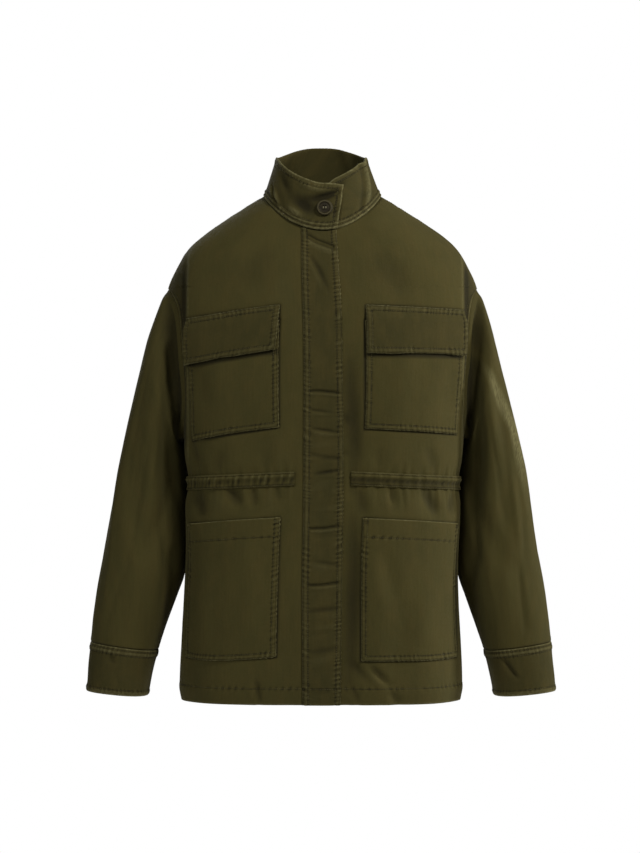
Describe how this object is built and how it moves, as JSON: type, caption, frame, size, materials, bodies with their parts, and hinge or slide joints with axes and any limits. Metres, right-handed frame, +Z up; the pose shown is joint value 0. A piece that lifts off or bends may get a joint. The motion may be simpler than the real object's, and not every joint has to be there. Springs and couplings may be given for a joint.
{
  "type": "funnel-neck jacket",
  "caption": "Funnel-neck utility jacket in cotton twill, worn hollow, with fly front, flapped chest pockets, patch lower pockets and a waist casing.",
  "frame": {"origin": "on the mid-plane at the height where the shoulder seams reach the neck, where the wearer's shoulders hold the jacket", "axes": "+Z up, +X to the wearer's left, front towards -Y"},
  "size_m": [0.676, 0.2699, 0.7963],
  "materials": {
    "twill": "washed olive cotton twill",
    "button": "satin olive-brown"
  },
  "bodies": {
    "root": {"front_right": "twill", "front_left": "twill", "back": "twill", "placket": "twill", "collar": "twill", "sleeve_right": "twill", "sleeve_left": "twill", "cuff_right": "twill", "cuff_left": "twill", "chest_pocket_right": "twill", "chest_pocket_left": "twill", "chest_flap_right": "twill", "chest_flap_left": "twill", "lower_pocket_right": "twill", "lower_pocket_left": "twill", "waist_casing": "twill", "collar_button": "button"}
  },
  "joints": []
}
